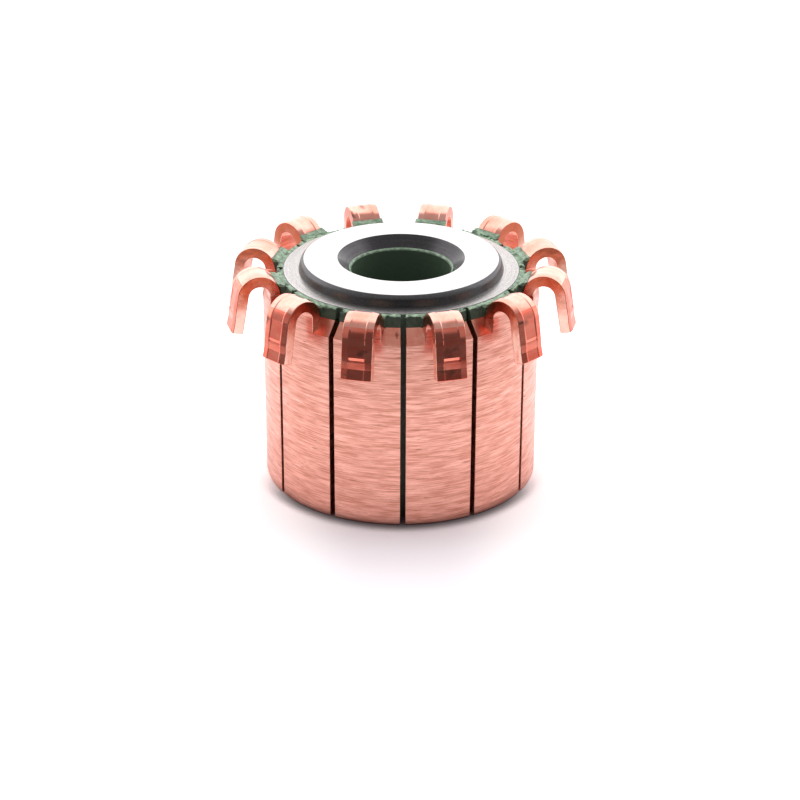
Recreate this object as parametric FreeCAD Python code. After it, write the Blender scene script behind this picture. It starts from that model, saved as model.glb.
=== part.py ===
import FreeCAD, Part
import math
import os

# A hook commutator for a small motor. Twelve copper bars stand in a ring. Each is one piece with
# a hook at its top, bent out and down to take a coil wire, and with two claws on its back. A
# green phenolic moulding fills the inside, grips the claws and keeps the bars apart, and a steel
# ring is moulded into its top. Millimetres, +Z up, origin at the middle of the foot.

# Copper barrel
bar_count = 12
barrel_radius = 11.1
bar_length = 16.6
bar_wall = 1.4
foot_chamfer = 0.15
shoulder_height = 1.07

# Saw slots between the bars, cut a little way into the moulding
slot_width = 0.41
slot_overcut = 0.2

# Hooks, from strip with two bevels on its outer face
hook_width = 2.4
hook_thickness = 1.0
hook_rise = 0.04
bend_radius = 0.8
leg_lean = 10.0
leg_length = 3.17
bevel_width = 0.55
bevel_depth = 0.1

# Line that the bending tool leaves across each leg
mark_height = 0.2
mark_depth = 0.06
mark_from_tip = 1.6

# Claws that hold each bar in the moulding
claw_width = 2.2
claw_reach = 1.6
claw_root = 1.5
claw_tip = 1.0
claw_slope = 1.2
claw_from_end = 2.0

# Moulding
bore_radius = 4.0
bore_lead = 0.3
sleeve_wall = 0.18
rim_height = 0.85
rim_set_in = 0.03
rim_taper = 0.15

# Steel ring
ring_depth = 0.85
ring_to_slot = 0.03
flange_rise = 0.03
flange_width = 1.25
boss_height = 0.9
boss_taper = 0.15
boss_bevel = 0.3
sink_width = 1.1
sink_angle = 43.0

# Worked-out places
ORIGIN = FreeCAD.Vector(0, 0, 0)
UP = FreeCAD.Vector(0, 0, 1)
pitch = 360.0 / bar_count
front = -90.0
bar_back = barrel_radius - bar_wall
slot_floor = bar_back - slot_overcut
shoulder_foot = bar_length - shoulder_height
shoulder_radius = barrel_radius - hook_thickness
bend_height = bar_length + hook_rise
bend_centre = FreeCAD.Vector(barrel_radius + bend_radius, 0, bend_height)
bend_axis = FreeCAD.Vector(0, 1, 0)
bend_angle = 180.0 - leg_lean
rim_top = bar_length + rim_height
rim_radius = shoulder_radius - rim_set_in
flange_radius = slot_floor - ring_to_slot
flange_top = rim_top + flange_rise
ring_floor = rim_top - ring_depth
boss_radius = flange_radius - flange_width
boss_top = flange_top + boss_height
sleeve_radius = bore_radius + sleeve_wall
sink_radius = bore_radius + sink_width


def turned(points, start=0.0, sweep=360.0):
    """Solid turned about Z from (radius, height) corners."""
    corners = [FreeCAD.Vector(radius, 0, height) for radius, height in points]
    face = Part.Face(Part.makePolygon(corners + corners[:1]))
    face.rotate(ORIGIN, UP, start)
    return face.revolve(ORIGIN, UP, sweep)


def saw_slot(angle):
    """The space that the saw leaves between two bars, open to the outside."""
    corner = FreeCAD.Vector(slot_floor, -slot_width / 2, 0)
    slot = Part.makeBox(barrel_radius, slot_width, rim_top, corner)
    slot.rotate(ORIGIN, UP, angle)
    return slot


def wall():
    """Curved wall of one bar, with its foot chamfer and the sloped shoulder at its top."""
    segment = turned([(bar_back, 0),
                      (barrel_radius - foot_chamfer, 0),
                      (barrel_radius, foot_chamfer),
                      (barrel_radius, shoulder_foot),
                      (shoulder_radius, bar_length),
                      (bar_back, bar_length)], -pitch / 2, pitch)
    return segment.cut([saw_slot(-pitch / 2), saw_slot(pitch / 2)])


def strip_section():
    """Cross-section of the hook strip where its bend starts: turned face out, bevels in."""
    half = hook_width / 2
    edge_x = math.sqrt(barrel_radius ** 2 - half ** 2)
    bevel_x = barrel_radius - hook_thickness + bevel_depth
    crown_x = barrel_radius - hook_thickness
    outline = [(edge_x, half), (bevel_x, half), (crown_x, half - bevel_width),
               (crown_x, bevel_width - half), (bevel_x, -half), (edge_x, -half)]
    corners = [FreeCAD.Vector(x, y, bend_height) for x, y in outline]
    middle = FreeCAD.Vector(barrel_radius, 0, bend_height)
    turned_face = Part.Arc(corners[-1], middle, corners[0]).toShape()
    return Part.Face(Part.Wire(Part.makePolygon(corners).Edges + [turned_face]))


def leg():
    """Free end of the strip, still straight above the bend, with the tool's line across it."""
    mark_low = bend_height + leg_length - mark_from_tip
    crown_x = barrel_radius - hook_thickness
    mark = Part.makeBox(mark_depth, hook_width, mark_height,
                        FreeCAD.Vector(crown_x, -hook_width / 2, mark_low))
    return strip_section().extrude(UP * leg_length).cut(mark)


def hook():
    """Root, bend and leg of one hook, all of the same strip."""
    strip = strip_section()
    root = strip.extrude(UP * (shoulder_foot - bend_height))
    bend = strip.revolve(bend_centre, bend_axis, bend_angle)
    bent_leg = leg()
    bent_leg.rotate(bend_centre, bend_axis, bend_angle)
    return root.fuse([bend, bent_leg])


def claw(flip):
    """One claw on the back of a bar, leaning towards the middle of the bar's length."""
    root_x = barrel_radius - bar_wall / 2
    tip_x = bar_back - claw_reach
    outline = [(root_x, claw_from_end),
               (bar_back, claw_from_end),
               (tip_x, claw_from_end + claw_slope),
               (tip_x, claw_from_end + claw_slope + claw_tip),
               (bar_back, claw_from_end + claw_root),
               (root_x, claw_from_end + claw_root)]
    corners = [FreeCAD.Vector(x, -claw_width / 2, bar_length - z if flip else z) for x, z in outline]
    face = Part.Face(Part.makePolygon(corners + corners[:1]))
    return face.extrude(FreeCAD.Vector(0, claw_width, 0))


def claws():
    """Lower and upper claw of one bar."""
    return [claw(False), claw(True)]


def bar():
    """One copper bar on the X axis, in one piece with its hook and claws."""
    return wall().fuse([hook()] + claws()).removeSplitter()


def end_ring():
    """Turned steel ring: flat flange, raised boss and a countersunk mouth."""
    sink_drop = (sink_radius - sleeve_radius) * math.tan(math.radians(sink_angle))
    return turned([(sleeve_radius, ring_floor),
                   (flange_radius, ring_floor),
                   (flange_radius, flange_top),
                   (boss_radius, flange_top),
                   (boss_radius - boss_taper, boss_top - boss_bevel),
                   (boss_radius - boss_taper - boss_bevel, boss_top),
                   (sink_radius, boss_top),
                   (sleeve_radius, boss_top - sink_drop)])


def seat():
    """The rim's moulding behind one hook, filled out to the strip's back."""
    inside = (flange_radius + rim_radius) / 2
    outside = shoulder_radius + hook_thickness / 2
    corner = FreeCAD.Vector(inside, -hook_width / 2, bar_length)
    return Part.makeBox(outside - inside, hook_width, rim_height, corner).cut(hook())


def moulded_body(angles):
    """Phenolic moulding: core, tapered rim with the hooks' seats, and the thin sleeve in its bore."""
    slope = math.tan(math.radians(sink_angle))
    core = turned([(bore_radius, bore_lead),
                   (bore_radius + bore_lead, 0),
                   (bar_back, 0),
                   (bar_back, bar_length),
                   (rim_radius, bar_length),
                   (rim_radius - rim_taper, rim_top),
                   (flange_radius, rim_top),
                   (flange_radius, ring_floor),
                   (sleeve_radius, ring_floor),
                   (sleeve_radius, boss_top - (sink_radius - sleeve_radius) * slope),
                   (bore_radius, boss_top - (sink_radius - bore_radius) * slope)])
    one_seat = seat()
    seats = []
    taken = []
    for angle in angles:
        placed_seat = one_seat.copy()
        placed_seat.rotate(ORIGIN, UP, angle)
        seats.append(placed_seat)
        for piece in claws():
            piece.rotate(ORIGIN, UP, angle)
            taken.append(piece)
        taken.append(saw_slot(angle - pitch / 2))
    return core.fuse(seats).cut(taken).removeSplitter()


def main():
    """Write each piece to its own file."""
    os.makedirs("parts", exist_ok=True)
    angles = [front + pitch * (number + 0.5) for number in range(bar_count)]
    one_bar = bar()
    for number, angle in enumerate(angles, start=1):
        placed = one_bar.copy()
        placed.rotate(ORIGIN, UP, angle)
        placed.exportStep(f"parts/bar_{number:02d}.step")
    moulded_body(angles).exportStep("parts/moulded_body.step")
    end_ring().exportStep("parts/end_ring.step")


main()
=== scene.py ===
import math

import bmesh
import bpy
from mathutils import Matrix, Vector


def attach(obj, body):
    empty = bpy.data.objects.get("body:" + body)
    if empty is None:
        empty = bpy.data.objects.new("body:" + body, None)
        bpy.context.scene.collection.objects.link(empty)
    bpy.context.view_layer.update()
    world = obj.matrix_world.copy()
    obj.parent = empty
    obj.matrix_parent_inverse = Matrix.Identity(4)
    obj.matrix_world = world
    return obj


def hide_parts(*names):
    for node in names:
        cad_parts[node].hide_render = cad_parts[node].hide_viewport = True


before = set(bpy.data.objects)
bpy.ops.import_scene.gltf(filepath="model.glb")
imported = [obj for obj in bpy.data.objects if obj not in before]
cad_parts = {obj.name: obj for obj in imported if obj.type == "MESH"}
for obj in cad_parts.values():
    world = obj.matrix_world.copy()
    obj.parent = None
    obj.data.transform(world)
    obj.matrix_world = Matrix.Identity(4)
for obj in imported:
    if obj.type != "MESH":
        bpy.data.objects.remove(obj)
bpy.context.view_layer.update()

MM = 0.001


# Camera
# A long lens a hand's span off, looking down at about 25 degrees. The commutator stands with
# a slot almost in front, and the frame is a hair off level, as in the photograph.
camera_distance = 187.14 * MM
camera_down = math.radians(25.421)
camera_turn = math.radians(-1.039)
camera_level = math.radians(0.226)
camera_aim = 5.705 * MM
camera_aside = -0.049 * MM
camera_lens = 102.27
camera_sensor = 36.0
camera_nearest = 10 * MM
camera_stand = Vector((camera_aside, -camera_distance * math.cos(camera_down),
                       camera_aim + camera_distance * math.sin(camera_down)))

camera_data = bpy.data.cameras.new("camera")
camera_data.lens = camera_lens
camera_data.sensor_width = camera_sensor
camera_data.clip_start = camera_nearest
camera = bpy.data.objects.new("camera", camera_data)
camera.matrix_world = (Matrix.Rotation(camera_turn, 4, "Z")
                       @ Matrix.Translation(camera_stand)
                       @ Matrix.Rotation(math.pi / 2 - camera_down, 4, "X")
                       @ Matrix.Rotation(camera_level, 4, "Z"))
bpy.context.scene.collection.objects.link(camera)
bpy.context.scene.camera = camera
bpy.context.scene.view_settings.view_transform = "Standard"


# Studio light
# A bright backdrop stands behind the table, the ceiling is dimmer, and the room in front is dark
# up to well above the lens, which the bent hooks show. The camera sees the backdrop as white.
backdrop_level = 2.3
ceiling_level = 0.6
front_level = 0.17
ceiling_start = -0.8
ceiling_full = -0.64
backdrop_start = -0.05
backdrop_full = 0.25


def put(net, kind, inputs={}, **options):
    """Place a node, set its options, and give its sockets their values or links."""
    node = net.nodes.new(kind)
    for option, value in options.items():
        setattr(node, option, value)
    for socket, value in inputs.items():
        if isinstance(value, bpy.types.NodeSocket):
            net.links.new(value, node.inputs[socket])
        else:
            node.inputs[socket].default_value = value
    return node


world = bpy.data.worlds.new("studio")
world.use_nodes = True
bpy.context.scene.world = world
net = world.node_tree
net.nodes.clear()
way = put(net, "ShaderNodeTexCoord")
split = put(net, "ShaderNodeSeparateXYZ", {"Vector": way.outputs["Generated"]})
ceiling = put(net, "ShaderNodeMapRange", {"Value": split.outputs["Y"], "From Min": ceiling_start,
                                          "From Max": ceiling_full, "To Min": front_level,
                                          "To Max": ceiling_level}, interpolation_type="SMOOTHSTEP")
behind = put(net, "ShaderNodeMapRange", {"Value": split.outputs["Y"], "From Min": backdrop_start,
                                         "From Max": backdrop_full, "To Min": 0.0,
                                         "To Max": backdrop_level - ceiling_level},
             interpolation_type="SMOOTHSTEP")
level = put(net, "ShaderNodeMath", {0: ceiling.outputs["Result"], 1: behind.outputs["Result"]},
            operation="ADD")
room = put(net, "ShaderNodeBackground", {"Strength": level.outputs["Value"]})
white = put(net, "ShaderNodeBackground")
path = put(net, "ShaderNodeLightPath")
seen = put(net, "ShaderNodeMixShader", {"Fac": path.outputs["Is Camera Ray"], 1: room.outputs["Background"],
                                        2: white.outputs["Background"]})
put(net, "ShaderNodeOutputWorld", {"Surface": seen.outputs["Shader"]})


# Table
# Plain matt white paper. It shows brighter to the eye than it lights the part, so the background
# is white and a soft shadow stays in front; beside the part it is painted brighter still, which paints
# the shadow away there. In the metal it ends a little in front of the part, where the dark room
# begins. A shadow is painted right at the foot's front, where no light gets in.
paper_size = 6.0
paper_near = 50 * MM
paper_fade = 8 * MM
paper_far_start = -80 * MM
paper_far_full = 70 * MM
mirrored_dim = 0.12
mirrored_bright = 1.4
lit_beside_start = 3 * MM
lit_beside_full = 10 * MM
contact_edge = 11.15 * MM
contact_fade = 1.3 * MM
contact_share = 0.85
contact_start = -1 * MM
contact_full = -8 * MM


def new_material(name):
    """A node material and its Principled BSDF."""
    material = bpy.data.materials.new(name)
    material.use_nodes = True
    return material, material.node_tree, material.node_tree.nodes["Principled BSDF"]


bpy.ops.object.select_all(action="DESELECT")
bpy.ops.mesh.primitive_plane_add(size=paper_size)
table = bpy.context.object
table.name = "table"
paper, net, surface = new_material("table_paper")
surface.inputs["Roughness"].default_value = 0.9
surface.inputs["Specular IOR Level"].default_value = 0.1
spot = put(net, "ShaderNodeTexCoord")
split = put(net, "ShaderNodeSeparateXYZ", {"Vector": spot.outputs["Object"]})
on_paper = put(net, "ShaderNodeCombineXYZ", {"X": split.outputs["X"], "Y": split.outputs["Y"]})
away = put(net, "ShaderNodeVectorMath", {0: on_paper.outputs["Vector"]}, operation="LENGTH")
near = put(net, "ShaderNodeMapRange", {"Value": away.outputs["Value"], "From Min": paper_near + paper_fade,
                                       "From Max": paper_near - paper_fade})
far = put(net, "ShaderNodeMapRange", {"Value": split.outputs["Y"], "From Min": paper_far_start,
                                      "From Max": paper_far_full}, interpolation_type="SMOOTHSTEP")
either = put(net, "ShaderNodeMath", {0: near.outputs["Result"], 1: far.outputs["Result"]},
             operation="MAXIMUM")
reach = put(net, "ShaderNodeMapRange", {"Value": either.outputs["Value"], "To Min": mirrored_dim,
                                        "To Max": mirrored_bright})
path = put(net, "ShaderNodeLightPath")
seen = put(net, "ShaderNodeMath", {0: path.outputs["Is Glossy Ray"],
                                   1: path.outputs["Is Transmission Ray"]}, operation="MAXIMUM")
# Painted light: beside the part the paper shows brighter still to the eye, which paints its shadow away
# there
sideways = put(net, "ShaderNodeMath", {0: split.outputs["X"]}, operation="ABSOLUTE")
lit_beside = put(net, "ShaderNodeMapRange", {"Value": sideways.outputs["Value"], "From Min": lit_beside_start,
                                         "From Max": lit_beside_full}, interpolation_type="SMOOTHSTEP")
seen_white = put(net, "ShaderNodeMix", {"Factor": lit_beside.outputs["Result"], "A": (1.3, 1.25, 1.31, 1),
                                        "B": (1.56, 1.53, 1.56, 1)}, data_type="RGBA")
to_eye = put(net, "ShaderNodeMix", {"Factor": path.outputs["Is Camera Ray"], "A": (0.8, 0.8, 0.8, 1),
                                    "B": seen_white.outputs["Result"]}, data_type="RGBA")
tone = put(net, "ShaderNodeMix", {"Factor": seen.outputs["Value"], "A": to_eye.outputs["Result"],
                                  "B": reach.outputs["Result"]}, data_type="RGBA")
# Painted shadow: the paper darkens right at the foot, fading outwards and away from the front
contact_shadow = put(net, "ShaderNodeMapRange", {"Value": away.outputs["Value"], "From Min": contact_edge,
                                          "From Max": contact_edge + contact_fade,
                                          "To Min": contact_share, "To Max": 0.0},
              interpolation_type="SMOOTHSTEP")
in_front = put(net, "ShaderNodeMapRange", {"Value": split.outputs["Y"], "From Min": contact_start,
                                           "From Max": contact_full}, interpolation_type="SMOOTHSTEP")
share = put(net, "ShaderNodeMath", {0: contact_shadow.outputs["Result"], 1: in_front.outputs["Result"]},
            operation="MULTIPLY")
shaded = put(net, "ShaderNodeMix", {"Factor": share.outputs["Value"], "A": tone.outputs["Result"],
                                    "B": (0.1, 0.08, 0.09, 1)}, data_type="RGBA")
net.links.new(shaded.outputs["Result"], surface.inputs["Base Color"])
table.data.materials.append(paper)


# Copper bars
# Twelve alike, each one piece of copper: the curved wall that the brush runs on, the strip left
# standing at its top and bent into a hook, and two claws on its back that the moulding grips.
# The shoulders beside the hook are turned away, and a saw parts the bars once they are moulded in.
bar_count = 12
bar_pitch = math.tau / bar_count
barrel_radius = 11.1 * MM
bar_back = 9.7 * MM
bar_top = 16.6 * MM
foot_chamfer = 0.15 * MM
shoulder_foot = 15.53 * MM
shoulder_radius = 10.1 * MM
slot_half = 0.205 * MM
beside_slot = math.radians(13.4)
hook_half = 1.2 * MM
ridge_in = 0.56 * MM
ridge_mid = 0.64 * MM
ridge_out = 0.7 * MM
panel_depth = 0.03 * MM
bevel_depth = 0.07 * MM
bend_height = 16.64 * MM
bend_centre = Vector((11.9 * MM, 0, bend_height))
bend_radius = bend_centre.x - shoulder_radius
bend_angle = math.radians(170)
bend_steps = 28
leg_way = Vector((math.sin(bend_angle), 0, math.cos(bend_angle)))
crown_out = Vector((-leg_way.z, 0, leg_way.x))
leg_start = bend_centre + crown_out * bend_radius
crown_depth = 0.5 * MM
claw_half = 1.1 * MM
claw_tip = 8.1 * MM
claw_middle = 2.75 * MM
claw_root = 1.5 * MM
claw_slope = 1.2 * MM
claw_taper = 0.7 * MM
claw_into_wall = 0.7 * MM
bar_easing = 0.045 * MM
fine = 0.0002 * MM
STRIP, TURNED, PRESSED, SAWN, SHEARED, EDGE_SHADE, SHOULDER = range(7)


def pick_faces(piece, test):
    """Select just the faces whose middle and normal pass the test."""
    bpy.ops.mesh.select_mode(type="FACE")
    bpy.ops.mesh.select_all(action="DESELECT")
    shape = bmesh.from_edit_mesh(piece.data)
    for face in shape.faces:
        face.select_set(test(face.calc_center_median(), face.normal))
    bmesh.update_edit_mesh(piece.data)


def pick_points(piece, test, among_selected=False):
    """Select just the corners whose place passes the test."""
    bpy.ops.mesh.select_mode(type="VERT")
    shape = bmesh.from_edit_mesh(piece.data)
    chosen = [point for point in shape.verts
              if test(point.co) and (point.select or not among_selected)]
    bpy.ops.mesh.select_all(action="DESELECT")
    for point in chosen:
        point.select_set(True)
    shape.select_flush(True)
    bmesh.update_edit_mesh(piece.data)


def settle(piece):
    """Put the object back at the origin, unturned, with its place in its mesh."""
    bpy.ops.object.select_all(action="DESELECT")
    piece.select_set(True)
    bpy.context.view_layer.objects.active = piece
    bpy.ops.object.transform_apply(location=True, rotation=True, scale=True)


def start_editing(piece):
    """Open a piece's mesh for editing, with nothing else taken along."""
    bpy.ops.object.select_all(action="DESELECT")
    bpy.context.view_layer.objects.active = piece
    bpy.ops.object.mode_set(mode="EDIT")


def combine(piece, tool, operation):
    """Join a piece with a tool or cut it by one, which is then thrown away."""
    bpy.ops.object.select_all(action="DESELECT")
    bpy.context.view_layer.objects.active = piece
    change = piece.modifiers.new(operation.lower(), "BOOLEAN")
    change.operation = operation
    change.object = tool
    change.solver = "EXACT"
    bpy.ops.object.modifier_apply(modifier=change.name)
    bpy.data.objects.remove(tool)


def bar_wall():
    """The wall of one bar, spun from its section, with the saw's two flat sides."""
    bpy.ops.object.select_all(action="DESELECT")
    bpy.ops.mesh.primitive_plane_add(size=1, rotation=(math.pi / 2, 0, 0),
                                     location=((bar_back + barrel_radius) / 2, 0, bar_top / 2))
    piece = bpy.context.object
    piece.name = "copper_bar"
    piece.scale = (barrel_radius - bar_back, bar_top, 1)
    settle(piece)
    bpy.ops.object.mode_set(mode="EDIT")
    bpy.ops.mesh.select_all(action="SELECT")
    bpy.ops.mesh.bisect(plane_co=(0, 0, shoulder_foot), plane_no=(0, 0, 1), threshold=fine)
    pick_points(piece, lambda p: p.x > barrel_radius - fine and p.z > bar_top - fine)
    bpy.ops.transform.translate(value=(shoulder_radius - barrel_radius, 0, 0))
    pick_points(piece, lambda p: p.x > barrel_radius - fine and p.z < fine)
    bpy.ops.mesh.bevel(offset=foot_chamfer, affect="VERTICES")
    bpy.ops.object.mode_set(mode="OBJECT")
    piece.rotation_euler.z = -bar_pitch / 2
    settle(piece)
    bpy.ops.object.mode_set(mode="EDIT")
    bpy.ops.mesh.select_mode(type="FACE")
    bpy.ops.mesh.select_all(action="SELECT")
    hook_edges = [math.asin(y / barrel_radius) for y in (hook_half, ridge_out, ridge_mid, ridge_in)]
    stops = [bar_pitch / 2, beside_slot] + hook_edges
    steps = [1, 6, 1, 1, 1]
    stops_across = [-stop for stop in stops] + stops[::-1]
    steps_across = steps + [4] + steps[::-1]
    for before, after, count in zip(stops_across, stops_across[1:], steps_across):
        bpy.ops.mesh.spin(steps=count, angle=after - before, center=(0, 0, 0), axis=(0, 0, -1))
    bpy.ops.mesh.select_all(action="SELECT")
    bpy.ops.mesh.normals_make_consistent(inside=False)
    for side in (-1, 1):
        angle = side * bar_pitch / 2
        away = Vector((-math.sin(angle), math.cos(angle), 0)) * side
        bpy.ops.mesh.select_all(action="SELECT")
        bpy.ops.mesh.bisect(plane_co=-away * slot_half, plane_no=away, use_fill=True,
                            clear_outer=True, threshold=fine)
    bpy.ops.object.mode_set(mode="OBJECT")
    return piece


def on_crown_root(point):
    """Whether a corner lies where the strip's inner face, the hook's crown, starts to bend."""
    return point.z > bend_height - fine and point.x < shoulder_radius + fine


def raise_strip(piece):
    """The strip at the middle of the bar's top, which the lathe leaves at full radius."""
    reach = barrel_radius / shoulder_radius
    half_turn = math.asin(hook_half / barrel_radius)
    start_editing(piece)
    pick_faces(piece, lambda c, n: c.z > shoulder_foot and 0.3 < n.z < 0.95
               and abs(math.atan2(c.y, c.x)) < half_turn)
    bpy.ops.mesh.extrude_region_move()
    pick_points(piece, lambda p: p.z > bar_top - fine, among_selected=True)
    bpy.ops.transform.resize(value=(reach, reach, 1), center_override=(0, 0, 0))
    bpy.ops.mesh.select_all(action="SELECT")
    bpy.ops.mesh.remove_doubles(threshold=fine)
    pick_faces(piece, lambda c, n: c.z > bar_top - fine and n.z > 0.9
               and math.hypot(c.x, c.y) > shoulder_radius + fine)
    bpy.ops.mesh.extrude_region_move(TRANSFORM_OT_translate={"value": (0, 0, bend_height - bar_top)})
    pick_points(piece, on_crown_root)
    bpy.ops.transform.resize(value=(1, reach, 1), center_override=(0, 0, 0))
    bpy.ops.transform.resize(value=(0, 1, 1), center_override=(shoulder_radius, 0, 0))
    pick_points(piece, lambda p: on_crown_root(p) and abs(p.y) < ridge_in + fine)
    bpy.ops.transform.translate(value=(panel_depth, 0, 0))
    pick_points(piece, lambda p: on_crown_root(p) and abs(p.y) > hook_half - fine)
    bpy.ops.transform.translate(value=(bevel_depth, 0, 0))
    bpy.ops.object.mode_set(mode="OBJECT")


def bend_hook(piece):
    """Bend the strip out and down and draw on its leg, with the marks of the bending tool."""
    start_editing(piece)
    pick_faces(piece, lambda c, n: c.z > bend_height - fine and n.z > 0.9)
    bpy.ops.mesh.spin(steps=bend_steps, angle=bend_angle, center=bend_centre, axis=(0, -1, 0))
    # Millimetres: each stretch's length, then how far out its panel, ridges and edges end
    stretches = [(0.35, -0.05, 0.0, -0.08), (1.06, 0.0, 0.0, -0.1), (0.21, -0.06, 0.0, -0.1),
                 (0.15, -0.01, 0.0, -0.1), (0.55, -0.085, -0.07, -0.14), (0.85, -0.01, 0.0, -0.1)]
    along = 0
    bands = [(0, ridge_in), (ridge_mid, ridge_out), (hook_half, hook_half)]
    stood = (-panel_depth / MM, 0, -bevel_depth / MM)
    for length, *stands in stretches:
        bpy.ops.mesh.extrude_region_move(TRANSFORM_OT_translate={"value": leg_way * length * MM})
        along += length * MM
        for (low, high), now, was in zip(bands, stands, stood):
            shift_crown(piece, along, low, high, (now - was) * MM)
        stood = stands
        pick_faces(piece, lambda c, n: abs((c - leg_start).dot(leg_way) - along) < fine
                   and n.dot(leg_way) > 0.9)
    bpy.ops.object.mode_set(mode="OBJECT")


def shift_crown(piece, along, low, high, shift):
    """Move the crown's corners at one place along the leg, between two distances from its middle."""
    pick_points(piece, lambda p: abs((p - leg_start).dot(leg_way) - along) < fine
                and (p - leg_start).dot(crown_out) > -crown_depth
                and low - fine < abs(p.y) < high + fine)
    bpy.ops.transform.translate(value=crown_out * shift)


def claw_pair():
    """The two claws of a bar, leaning towards the middle of its length."""
    pair = []
    for flip in (False, True):
        bpy.ops.object.select_all(action="DESELECT")
        bpy.ops.mesh.primitive_cube_add(size=1, location=((claw_tip + bar_back) / 2, 0, claw_middle))
        claw = bpy.context.object
        claw.scale = (bar_back - claw_tip, claw_half * 2, claw_root)
        settle(claw)
        bpy.ops.object.mode_set(mode="EDIT")
        pick_points(claw, lambda p: p.x < claw_tip + fine and p.z > claw_middle)
        bpy.ops.transform.translate(value=(0, 0, claw_taper))
        pick_points(claw, lambda p: p.x < claw_tip + fine and p.z < claw_middle)
        bpy.ops.transform.translate(value=(0, 0, claw_slope))
        pick_faces(claw, lambda c, n: n.x > 0.9)
        bpy.ops.mesh.extrude_region_move(TRANSFORM_OT_translate={"value": (claw_into_wall, 0, 0)})
        bpy.ops.object.mode_set(mode="OBJECT")
        if flip:
            claw.scale.z = -1
            claw.location.z = bar_top
            settle(claw)
            bpy.ops.object.mode_set(mode="EDIT")
            bpy.ops.mesh.select_all(action="SELECT")
            bpy.ops.mesh.normals_make_consistent(inside=False)
            bpy.ops.object.mode_set(mode="OBJECT")
        pair.append(claw)
    return pair


def ease_edges(piece, width, angle, finish):
    """Round every edge sharper than an angle a little, with a finish of its own."""
    bpy.ops.object.select_all(action="DESELECT")
    piece.select_set(True)
    bpy.context.view_layer.objects.active = piece
    rounding = piece.modifiers.new("eased", "BEVEL")
    rounding.width = width
    rounding.segments = 2
    rounding.limit_method = "ANGLE"
    rounding.angle_limit = math.radians(angle)
    rounding.use_clamp_overlap = False
    rounding.material = finish
    bpy.ops.object.modifier_apply(modifier=rounding.name)


def shade_flats(piece, angle):
    """Shade round stretches smooth, up to an angle, and keep the broad faces' shading flat."""
    bpy.ops.object.shade_smooth_by_angle(angle=math.radians(angle))
    # The weights are areas, which are too small to count at true size
    piece.scale = (1 / MM, 1 / MM, 1 / MM)
    settle(piece)
    shading = piece.modifiers.new("shading", "WEIGHTED_NORMAL")
    shading.keep_sharp = True
    bpy.ops.object.modifier_apply(modifier=shading.name)
    piece.scale = (MM, MM, MM)
    settle(piece)


copper_bar = bar_wall()
raise_strip(copper_bar)
bend_hook(copper_bar)
for claw in claw_pair():
    combine(copper_bar, claw, "UNION")
# The rounded edges take the near-black copper, a painted shade along every edge
ease_edges(copper_bar, bar_easing, 50, finish=EDGE_SHADE)
shade_flats(copper_bar, 7)


def node_group(name, sockets):
    """A new shader node group with its named inputs and outputs."""
    group = bpy.data.node_groups.new(name, "ShaderNodeTree")
    for label, direction, kind in sockets:
        group.interface.new_socket(label, in_out=direction, socket_type="NodeSocket" + kind)
    return group, group.nodes.new("NodeGroupInput"), group.nodes.new("NodeGroupOutput")


# Where a point lies on a turned piece, in millimetres
place, given, found = node_group("turned_place", [
    ("Radius", "OUTPUT", "Float"), ("Height", "OUTPUT", "Float"),
    ("Direction", "OUTPUT", "Vector"), ("Place", "OUTPUT", "Vector")])
point = put(place, "ShaderNodeTexCoord")
in_mm = put(place, "ShaderNodeVectorMath", {0: point.outputs["Object"], "Scale": 1000.0},
            operation="SCALE")
flat = put(place, "ShaderNodeVectorMath", {0: in_mm.outputs["Vector"], 1: (1, 1, 0)},
           operation="MULTIPLY")
reach = put(place, "ShaderNodeVectorMath", {0: flat.outputs["Vector"]}, operation="LENGTH")
toward = put(place, "ShaderNodeVectorMath", {0: flat.outputs["Vector"]}, operation="NORMALIZE")
parts = put(place, "ShaderNodeSeparateXYZ", {"Vector": in_mm.outputs["Vector"]})
place.links.new(reach.outputs["Value"], found.inputs["Radius"])
place.links.new(parts.outputs["Z"], found.inputs["Height"])
place.links.new(toward.outputs["Vector"], found.inputs["Direction"])
place.links.new(in_mm.outputs["Vector"], found.inputs["Place"])

# Fine lines that the lathe tool leaves round a turned face, and the small nicks of handling
lines, given, found = node_group("tool_lines", [
    ("Along", "INPUT", "Float"), ("Direction", "INPUT", "Vector"),
    ("Spacing", "INPUT", "Float"), ("Length", "INPUT", "Float"),
    ("Height", "OUTPUT", "Float"), ("Tone", "OUTPUT", "Float"), ("Nicks", "OUTPUT", "Float")])
across = put(lines, "ShaderNodeMath", {0: given.outputs["Along"], 1: given.outputs["Spacing"]},
             operation="DIVIDE")
turns = put(lines, "ShaderNodeMath", {0: 10.0, 1: given.outputs["Length"]}, operation="DIVIDE")
around = put(lines, "ShaderNodeVectorMath", {0: given.outputs["Direction"],
                                             "Scale": turns.outputs["Value"]}, operation="SCALE")
up = put(lines, "ShaderNodeCombineXYZ", {"Z": across.outputs["Value"]})
spot = put(lines, "ShaderNodeVectorMath", {0: around.outputs["Vector"], 1: up.outputs["Vector"]},
           operation="ADD")
fine_noise = put(lines, "ShaderNodeTexNoise", {"Vector": spot.outputs["Vector"], "Scale": 1.0,
                                               "Detail": 3.0, "Roughness": 0.6})
broad_place = put(lines, "ShaderNodeVectorMath", {0: spot.outputs["Vector"], 1: (0.8, 0.8, 0.25)},
                  operation="MULTIPLY")
broad_noise = put(lines, "ShaderNodeTexNoise", {"Vector": broad_place.outputs["Vector"], "Scale": 1.0,
                                                "Detail": 3.0})
nick_place = put(lines, "ShaderNodeVectorMath", {0: spot.outputs["Vector"], 1: (1.2, 1.2, 0.7)},
                 operation="MULTIPLY")
nick_noise = put(lines, "ShaderNodeTexNoise", {"Vector": nick_place.outputs["Vector"], "Scale": 1.0,
                                               "Detail": 2.0})
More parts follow.
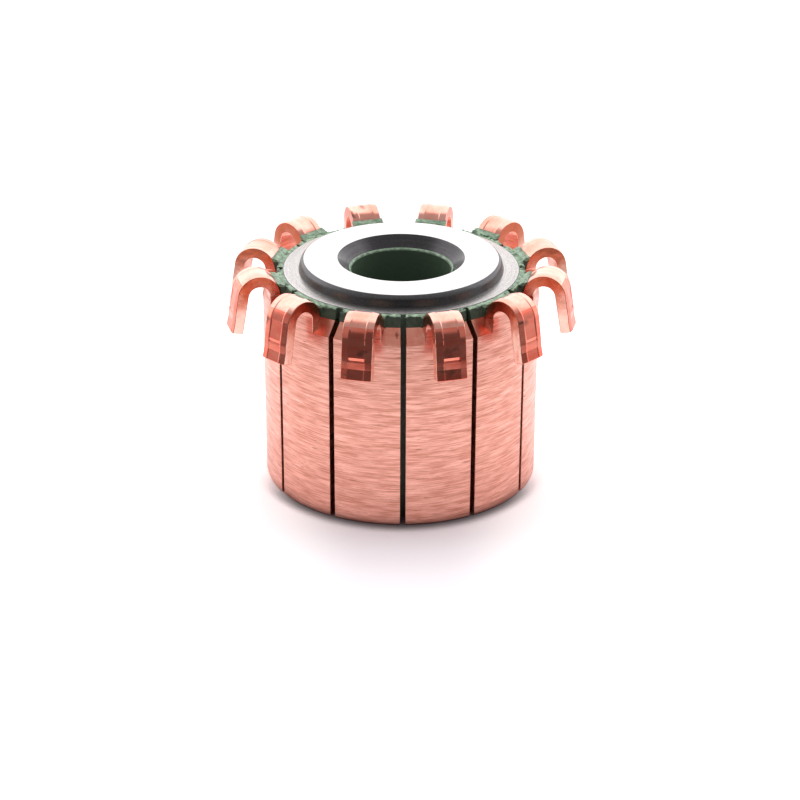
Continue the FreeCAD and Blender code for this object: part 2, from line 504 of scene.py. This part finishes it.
nick = put(lines, "ShaderNodeMapRange", {"Value": nick_noise.outputs["Fac"], "From Min": 0.66,
                                         "From Max": 0.74})
lines.links.new(fine_noise.outputs["Fac"], found.inputs["Height"])
lines.links.new(broad_noise.outputs["Fac"], found.inputs["Tone"])
lines.links.new(nick.outputs["Result"], found.inputs["Nicks"])


nick_tone = (0.36, 0.13, 0.09, 1)


def copper_finish(name, dark, bright, rough, spacing, length, depth):
    """Bare copper in two tones, with the tool's lines on it, which are sized in millimetres."""
    material, net, surface = new_material(name)
    at = put(net, "ShaderNodeGroup", node_tree=place)
    marks = put(net, "ShaderNodeGroup", node_tree=lines)
    marks.inputs["Spacing"].default_value = spacing
    marks.inputs["Length"].default_value = length
    net.links.new(at.outputs["Height"], marks.inputs["Along"])
    net.links.new(at.outputs["Direction"], marks.inputs["Direction"])
    both = put(net, "ShaderNodeMath", {0: marks.outputs["Height"], 1: 2.0, 2: marks.outputs["Tone"]},
               operation="MULTIPLY_ADD")
    tone = put(net, "ShaderNodeMapRange", {"Value": both.outputs["Value"], "From Min": 1.15,
                                           "From Max": 1.85})
    colour = put(net, "ShaderNodeMix", {"Factor": tone.outputs["Result"], "A": dark, "B": bright},
                 data_type="RGBA")
    nicked = put(net, "ShaderNodeMix", {"Factor": marks.outputs["Nicks"], "A": colour.outputs["Result"],
                                        "B": nick_tone}, data_type="RGBA")
    net.links.new(nicked.outputs["Result"], surface.inputs["Base Color"])
    dull = put(net, "ShaderNodeMapRange", {"Value": marks.outputs["Tone"], "From Min": 0.3, "From Max": 0.7,
                                           "To Min": rough + 0.06, "To Max": rough - 0.06})
    net.links.new(dull.outputs["Result"], surface.inputs["Roughness"])
    cut = put(net, "ShaderNodeBump", {"Strength": 1.0, "Distance": depth * MM,
                                      "Height": marks.outputs["Height"]})
    net.links.new(cut.outputs["Normal"], surface.inputs["Normal"])
    surface.inputs["Metallic"].default_value = 1
    return material


turned_copper = copper_finish("copper_turned", (0.6, 0.23, 0.17, 1), (0.93, 0.47, 0.39, 1),
                              rough=0.32, spacing=0.085, length=1.6, depth=0.006)
strip_copper = copper_finish("copper_strip", (0.84, 0.32, 0.24, 1), (0.97, 0.5, 0.41, 1),
                             rough=0.22, spacing=0.6, length=1.5, depth=0.008)
# The crown that the bending tool pressed, smoother; its deep red is painted reflection, standing in for
# light bounced between copper faces
pressed_reflected_copper = copper_finish("copper_pressed_reflected", (0.9, 0.18, 0.12, 1), (0.98, 0.29, 0.21, 1),
                               rough=0.17, spacing=0.9, length=2.0, depth=0.008)
sawn_copper = copper_finish("copper_sawn", (0.55, 0.2, 0.14, 1), (0.8, 0.36, 0.27, 1),
                            rough=0.4, spacing=0.4, length=0.4, depth=0.01)
# The shoulders, smoother than the wall; their brighter, redder tone is painted reflection of the hook's
# underside above them
shoulder_reflected_copper = copper_finish("copper_shoulder_reflected", (0.89, 0.28, 0.2, 1), (0.98, 0.45, 0.34, 1),
                                rough=0.25, spacing=0.5, length=1.0, depth=0.0)
# The rounded edges: near-black copper, painted shade as a dark outline along each edge
edge_shade_copper = copper_finish("copper_edge_shade", (0.04, 0.012, 0.01, 1), (0.36, 0.11, 0.08, 1),
                              rough=0.4, spacing=0.3, length=0.6, depth=0.0)

# The strip's sheared sides, with painted shade: deep orange up in the bend, paler towards the leg's tip
sheared_shaded_copper, net, surface = new_material("copper_sheared_shaded")
at = put(net, "ShaderNodeGroup", node_tree=place)
patch = put(net, "ShaderNodeTexNoise", {"Vector": at.outputs["Place"], "Scale": 0.7, "Detail": 2.0})
level = put(net, "ShaderNodeMath", {0: patch.outputs["Fac"], 1: 3.0, 2: at.outputs["Height"]},
            operation="MULTIPLY_ADD")
bend_shade = put(net, "ShaderNodeMapRange", {"Value": level.outputs["Value"], "From Min": 16.3,
                                       "From Max": 19.3}, interpolation_type="SMOOTHSTEP")
tone = put(net, "ShaderNodeMix", {"Factor": bend_shade.outputs["Result"], "A": (0.98, 0.6, 0.5, 1),
                                  "B": (0.6, 0.15, 0.08, 1)}, data_type="RGBA")
net.links.new(tone.outputs["Result"], surface.inputs["Base Color"])
dent = put(net, "ShaderNodeBump", {"Strength": 1.0, "Distance": 0.06 * MM, "Height": patch.outputs["Fac"]})
net.links.new(dent.outputs["Normal"], surface.inputs["Normal"])
surface.inputs["Metallic"].default_value = 1
surface.inputs["Roughness"].default_value = 0.25

# In the order of the finishes' numbers
for finish in (strip_copper, turned_copper, pressed_reflected_copper, sawn_copper, sheared_shaded_copper, edge_shade_copper,
               shoulder_reflected_copper):
    copper_bar.data.materials.append(finish)
saw_way = Vector((-math.sin(bar_pitch / 2), math.cos(bar_pitch / 2), 0))
other_saw_way = saw_way.reflect(Vector((0, 1, 0)))
for face in copper_bar.data.polygons:
    middle = face.center
    radius = math.hypot(middle.x, middle.y)
    outward = (face.normal.x * middle.x + face.normal.y * middle.y) / radius
    sawn = max(face.normal.dot(saw_way), face.normal.dot(other_saw_way)) > 0.99
    inward = face.normal.dot(middle - bend_centre) < 0
    if face.material_index == EDGE_SHADE:
        continue
    if radius < barrel_radius + fine and middle.z < shoulder_foot and outward > 0.4:
        face.material_index = TURNED
    elif middle.z < bar_top and sawn:
        face.material_index = SAWN
    elif abs(middle.y) < hook_half and abs(face.normal.y) < 0.6 and inward:
        face.material_index = TURNED
    elif abs(middle.y) > hook_half and shoulder_foot < middle.z < bar_top and face.normal.z > 0.2:
        face.material_index = SHOULDER
    elif face.normal.dot(crown_out) > 0.85 and (middle - bend_centre).dot(crown_out) > 0:
        face.material_index = PRESSED
    elif abs(face.normal.y) > 0.99:
        face.material_index = SHEARED
    else:
        face.material_index = STRIP

# All copies are made before the first bar is turned to its place
bars = [copper_bar] + [copper_bar.copy() for _ in range(bar_count - 1)]
for placed in bars[1:]:
    placed.data = copper_bar.data.copy()
    bpy.context.scene.collection.objects.link(placed)
for number, placed in enumerate(bars, start=1):
    placed.name = f"hooked_bar_{number:02d}"
    placed.rotation_euler.z = -math.pi / 2 + bar_pitch * (number - 0.5)
    settle(placed)
    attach(placed, "root")
    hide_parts(f"bar_{number:02d}")


# Moulded body
# Green phenolic, pressed in one shot round the claws and under the ring. Its rim shows between the
# hooks, with a torn top edge and a seat behind each hook, and is sawn through at each slot. The rim's
# top and the seats are painted paler, as lit from above.
# A thin sleeve of it lines the ring's mouth and holds the shaft bore.
round_columns = 360
bore_radius = 4.0 * MM
bore_lead = 0.3 * MM
sleeve_radius = 4.18 * MM
rim_radius = 10.07 * MM
rim_top = 17.45 * MM
ring_radius = 9.47 * MM
ring_floor = 16.6 * MM
sleeve_top = 17.522 * MM
bore_top = 17.354 * MM
slot_floor = 9.5 * MM
saw_length = 10 * MM
saw_height = 20 * MM
saw_middle = 9 * MM
seat_inside = 9.77 * MM
seat_outside = 10.85 * MM
seat_top = 17.7 * MM
seat_slope = 0.45 * MM
seat_spare = 0.15 * MM
seat_cuts = 5
seat_curve = 1.79 * MM
seat_curve_columns = 120
seat_curve_length = 4 * MM
seat_tear = 0.07 * MM
side_foot = 16.7 * MM
side_top = 17.3 * MM
side_tear = 0.08 * MM
top_tear = 0.13 * MM


def turned_piece(name, columns, radius, low, corners):
    """A closed ring, drawn up from a disc: its cap goes from corner to corner and back to its foot."""
    high = corners[0][1]
    bpy.ops.object.select_all(action="DESELECT")
    bpy.ops.mesh.primitive_cylinder_add(vertices=columns, radius=radius, depth=high - low,
                                        location=(0, 0, (high + low) / 2))
    piece = bpy.context.object
    piece.name = name
    settle(piece)
    bpy.ops.object.mode_set(mode="EDIT")
    pick_faces(piece, lambda c, n: n.z < -0.9)
    bpy.ops.mesh.extrude_region_move()
    shrink = corners[-1][0] / radius
    bpy.ops.transform.resize(value=(shrink, shrink, 1), center_override=(0, 0, 0))
    bpy.ops.mesh.delete(type="ONLY_FACE")
    pick_faces(piece, lambda c, n: n.z > 0.9 and c.z > high - fine)
    was_radius = radius
    was_height = high
    for at_radius, height in corners:
        grow = at_radius / was_radius
        bpy.ops.mesh.extrude_region_move(TRANSFORM_OT_translate={"value": (0, 0, height - was_height)})
        bpy.ops.transform.resize(value=(grow, grow, 1), center_override=(0, 0, 0))
        was_radius = at_radius
        was_height = height
    bpy.ops.mesh.delete(type="ONLY_FACE")
    bpy.ops.mesh.select_all(action="SELECT")
    bpy.ops.mesh.remove_doubles(threshold=fine)
    bpy.ops.mesh.normals_make_consistent(inside=False)
    bpy.ops.object.mode_set(mode="OBJECT")
    return piece


def repeat_round(piece, turn):
    """Turn a piece by an angle, then repeat it for every bar."""
    piece.rotation_euler.z = turn
    settle(piece)
    bpy.ops.object.mode_set(mode="EDIT")
    bpy.ops.mesh.select_all(action="SELECT")
    bpy.ops.mesh.spin(steps=bar_count - 1, dupli=True, angle=math.tau - bar_pitch, center=(0, 0, 0),
                      axis=(0, 0, 1))
    bpy.ops.object.mode_set(mode="OBJECT")


body = turned_piece("moulded_core", round_columns, bar_back, 0, [
    (bar_back, bar_top), (rim_radius, bar_top), (10.03 * MM, 16.83 * MM), (9.99 * MM, 17.05 * MM),
    (9.96 * MM, 17.25 * MM), (9.93 * MM, 17.39 * MM), (9.86 * MM, rim_top), (9.66 * MM, rim_top),
    (ring_radius, rim_top), (ring_radius, ring_floor), (sleeve_radius, ring_floor),
    (sleeve_radius, sleeve_top), (bore_radius, bore_top), (bore_radius, bore_lead),
    (bore_radius + bore_lead, 0)])

# Room for the claws, and the saw's slots
for claw in claw_pair():
    repeat_round(claw, bar_pitch / 2)
    combine(body, claw, "DIFFERENCE")
bpy.ops.object.select_all(action="DESELECT")
bpy.ops.mesh.primitive_cube_add(size=1, location=(slot_floor + saw_length / 2, 0, saw_middle))
saw = bpy.context.object
saw.name = "saw"
saw.scale = (saw_length, slot_half * 2, saw_height)
settle(saw)
repeat_round(saw, 0)
combine(body, saw, "DIFFERENCE")

# The seats fill the rim out to each hook's back, climb up behind its bend and end in a torn edge.
# They are cut to the bend's curve, and reach into the core as closed shells of the same mesh.
bpy.ops.object.select_all(action="DESELECT")
bpy.ops.mesh.primitive_cube_add(size=1, location=((seat_inside + seat_outside) / 2, 0,
                                                  (bar_top + seat_top) / 2))
seats = bpy.context.object
seats.name = "hook_seats"
seats.scale = (seat_outside - seat_inside, hook_half * 2 + seat_spare, seat_top - bar_top)
settle(seats)
bpy.ops.object.mode_set(mode="EDIT")
bpy.ops.mesh.select_all(action="SELECT")
bpy.ops.mesh.bisect(plane_co=(0, 0, rim_top), plane_no=(0, 0, 1), threshold=fine)
pick_points(seats, lambda p: p.z > seat_top - fine and p.x < seat_inside + fine)
bpy.ops.transform.translate(value=(seat_slope, 0, 0))
bpy.ops.mesh.select_all(action="SELECT")
bpy.ops.mesh.subdivide(number_cuts=seat_cuts)
pick_points(seats, lambda p: p.z > rim_top + fine)
bpy.ops.transform.vertex_random(offset=seat_tear, seed=5)
bpy.ops.object.mode_set(mode="OBJECT")
bpy.ops.object.select_all(action="DESELECT")
bpy.ops.mesh.primitive_cylinder_add(vertices=seat_curve_columns, radius=seat_curve,
                                    depth=seat_curve_length, location=bend_centre,
                                    rotation=(math.pi / 2, 0, 0))
hook_bend = bpy.context.object
hook_bend.name = "hook_bend"
settle(hook_bend)
combine(seats, hook_bend, "DIFFERENCE")
repeat_round(seats, bar_pitch / 2)
bpy.ops.object.select_all(action="DESELECT")
seats.select_set(True)
body.select_set(True)
bpy.context.view_layer.objects.active = body
bpy.ops.object.join()

# The rim's torn top edge, and its side, which is torn less. The corners' order in the mesh isn't
# the same in every run, so the tear isn't either: single corners of it differ by up to 0.2 mm.
start_editing(body)
pick_points(body, lambda p: p.z > side_top and 9.6 * MM < math.hypot(p.x, p.y) < 10.0 * MM)
bpy.ops.transform.vertex_random(offset=top_tear, seed=7)
pick_points(body, lambda p: side_foot < p.z < side_top and 9.9 * MM < math.hypot(p.x, p.y) < 10.1 * MM)
bpy.ops.transform.vertex_random(offset=side_tear, seed=3)
bpy.ops.object.mode_set(mode="OBJECT")
bpy.ops.object.select_all(action="DESELECT")
body.select_set(True)
bpy.ops.object.shade_smooth_by_angle(angle=math.radians(25))

green, net, surface = new_material("phenolic_moulding")
at = put(net, "ShaderNodeGroup", node_tree=place)
grain = put(net, "ShaderNodeTexNoise", {"Vector": at.outputs["Place"], "Scale": 3.5, "Detail": 4.0})
tear = put(net, "ShaderNodeTexNoise", {"Vector": at.outputs["Place"], "Scale": 2.2, "Detail": 3.0})
edge = put(net, "ShaderNodeMath", {0: tear.outputs["Fac"], 1: 0.3, 2: at.outputs["Height"]},
           operation="MULTIPLY_ADD")
# The rim's top and the seats are pale: a ragged torn edge, and painted light on these upward faces, which
# ends above the seats
torn_and_lit = put(net, "ShaderNodeMapRange", {"Value": edge.outputs["Value"], "From Min": 17.54, "From Max": 17.6})
outer_tone = put(net, "ShaderNodeMix", {"Factor": grain.outputs["Fac"], "A": (0.027, 0.045, 0.031, 1),
                                        "B": (0.108, 0.165, 0.108, 1)}, data_type="RGBA")
# Painted light: the bore's wall is coloured lighter than the outside, as if lit through its mouth
bore_lit = put(net, "ShaderNodeMath", {0: at.outputs["Radius"], 1: 4.3}, operation="LESS_THAN")
dark_tone = put(net, "ShaderNodeMix", {"Factor": bore_lit.outputs["Value"], "A": outer_tone.outputs["Result"],
                                       "B": (0.1, 0.15, 0.1, 1)}, data_type="RGBA")
patches = put(net, "ShaderNodeMapRange", {"Value": grain.outputs["Fac"], "From Min": 0.3, "From Max": 0.62})
torn_lit_tone = put(net, "ShaderNodeMix", {"Factor": patches.outputs["Result"], "A": (0.17, 0.28, 0.18, 1),
                                       "B": (0.43, 0.6, 0.41, 1)}, data_type="RGBA")
below_seats = put(net, "ShaderNodeMapRange", {"Value": edge.outputs["Value"], "From Min": 17.92,
                                              "From Max": 17.78})
torn_lit_band = put(net, "ShaderNodeMath", {0: torn_and_lit.outputs["Result"], 1: below_seats.outputs["Result"]},
           operation="MULTIPLY")
tone = put(net, "ShaderNodeMix", {"Factor": torn_lit_band.outputs["Value"], "A": dark_tone.outputs["Result"],
                                  "B": torn_lit_tone.outputs["Result"]}, data_type="RGBA")
net.links.new(tone.outputs["Result"], surface.inputs["Base Color"])
dull = put(net, "ShaderNodeMapRange", {"Value": grain.outputs["Fac"], "To Min": 0.35, "To Max": 0.6})
net.links.new(dull.outputs["Result"], surface.inputs["Roughness"])
pits = put(net, "ShaderNodeBump", {"Strength": 1.0, "Distance": 0.03 * MM, "Height": grain.outputs["Fac"]})
net.links.new(pits.outputs["Normal"], surface.inputs["Normal"])
body.data.materials.append(green)
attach(body, "root")
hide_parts("moulded_body")


# End ring
# A turned steel ring, moulded into the top: a flat flange with the lathe's fine rings on it, and
# a raised boss, lapped bright, with a countersunk mouth for the shaft. The sides of the boss and
# the countersink are coloured darker.
flange_top = 17.48 * MM
boss_foot = 8.22 * MM
boss_shoulder = 8.07 * MM
bevel_low = 18.08 * MM
boss_edge = 7.77 * MM
boss_top = 18.38 * MM
mouth_edge = 5.1 * MM
flange_edge = 0.05 * MM
rounded_edges = [(ring_radius, flange_top, flange_edge), (boss_shoulder, bevel_low, 0.12 * MM),
                 (boss_edge, boss_top, 0.1 * MM), (mouth_edge, boss_top, 0.06 * MM)]
BOSS, FLANGE, SIDE, MOUTH = range(4)

ring = turned_piece("turned_ring", round_columns, ring_radius, ring_floor, [
    (ring_radius, flange_top), (boss_foot, flange_top), (boss_shoulder, bevel_low), (boss_edge, boss_top),
    (mouth_edge, boss_top), (sleeve_radius, sleeve_top), (sleeve_radius, ring_floor)])
bpy.ops.object.mode_set(mode="EDIT")
for edge_radius, height, round_radius in rounded_edges:
    pick_points(ring, lambda p: abs(math.hypot(p.x, p.y) - edge_radius) < 5 * fine
                and abs(p.z - height) < 5 * fine)
    bpy.ops.mesh.bevel(offset=round_radius, segments=4, affect="EDGES")
bpy.ops.object.mode_set(mode="OBJECT")
shade_flats(ring, 30)

steel_boss, net, surface = new_material("steel_lapped")
at = put(net, "ShaderNodeGroup", node_tree=place)
dust = put(net, "ShaderNodeTexNoise", {"Vector": at.outputs["Place"], "Scale": 4.0, "Detail": 2.0})
specks = put(net, "ShaderNodeMapRange", {"Value": dust.outputs["Fac"], "From Min": 0.7, "From Max": 0.75})
tone = put(net, "ShaderNodeMix", {"Factor": specks.outputs["Result"], "A": (0.62, 0.6, 0.6, 1),
                                  "B": (0.3, 0.28, 0.28, 1)}, data_type="RGBA")
net.links.new(tone.outputs["Result"], surface.inputs["Base Color"])
surface.inputs["Metallic"].default_value = 1
surface.inputs["Roughness"].default_value = 0.16


def turned_steel(name, dark, bright, rough, spacing, depth):
    """Steel with the lathe's fine rings and a little grit on it."""
    material, net, surface = new_material(name)
    at = put(net, "ShaderNodeGroup", node_tree=place)
    marks = put(net, "ShaderNodeGroup", node_tree=lines)
    marks.inputs["Spacing"].default_value = spacing
    marks.inputs["Length"].default_value = 12.0
    net.links.new(at.outputs["Radius"], marks.inputs["Along"])
    net.links.new(at.outputs["Direction"], marks.inputs["Direction"])
    grit = put(net, "ShaderNodeTexNoise", {"Vector": at.outputs["Place"], "Scale": 14.0, "Detail": 2.0})
    soft = put(net, "ShaderNodeMath", {0: marks.outputs["Height"], 1: 0.5}, operation="MULTIPLY")
    relief = put(net, "ShaderNodeMath", {0: soft.outputs["Value"], 1: grit.outputs["Fac"]}, operation="ADD")
    cut = put(net, "ShaderNodeBump", {"Strength": 1.0, "Distance": depth * MM,
                                      "Height": relief.outputs["Value"]})
    net.links.new(cut.outputs["Normal"], surface.inputs["Normal"])
    share = put(net, "ShaderNodeMapRange", {"Value": relief.outputs["Value"], "From Min": 0.55,
                                            "From Max": 0.95})
    tone = put(net, "ShaderNodeMix", {"Factor": share.outputs["Result"], "A": dark, "B": bright},
               data_type="RGBA")
    net.links.new(tone.outputs["Result"], surface.inputs["Base Color"])
    surface.inputs["Metallic"].default_value = 1
    surface.inputs["Roughness"].default_value = rough
    return material


steel_flange = turned_steel("steel_flange", (0.3, 0.28, 0.275, 1), (0.56, 0.53, 0.52, 1),
                            rough=0.26, spacing=0.13, depth=0.003)
steel_side = turned_steel("steel_side", (0.07, 0.068, 0.072, 1), (0.15, 0.146, 0.152, 1),
                          rough=0.36, spacing=0.11, depth=0.001)
steel_mouth = turned_steel("steel_mouth", (0.05, 0.047, 0.05, 1), (0.1, 0.095, 0.1, 1),
                           rough=0.22, spacing=0.11, depth=0.002)
# In the order of the finishes' numbers
for finish in (steel_boss, steel_flange, steel_side, steel_mouth):
    ring.data.materials.append(finish)
for face in ring.data.polygons:
    radius = math.hypot(face.center.x, face.center.y)
    if radius < mouth_edge or radius > ring_radius - flange_edge:
        face.material_index = MOUTH
    elif face.center.z < flange_top + fine:
        face.material_index = FLANGE
    elif face.normal.z < 0.8:
        face.material_index = SIDE
    else:
        face.material_index = BOSS
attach(ring, "root")
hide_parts("end_ring")
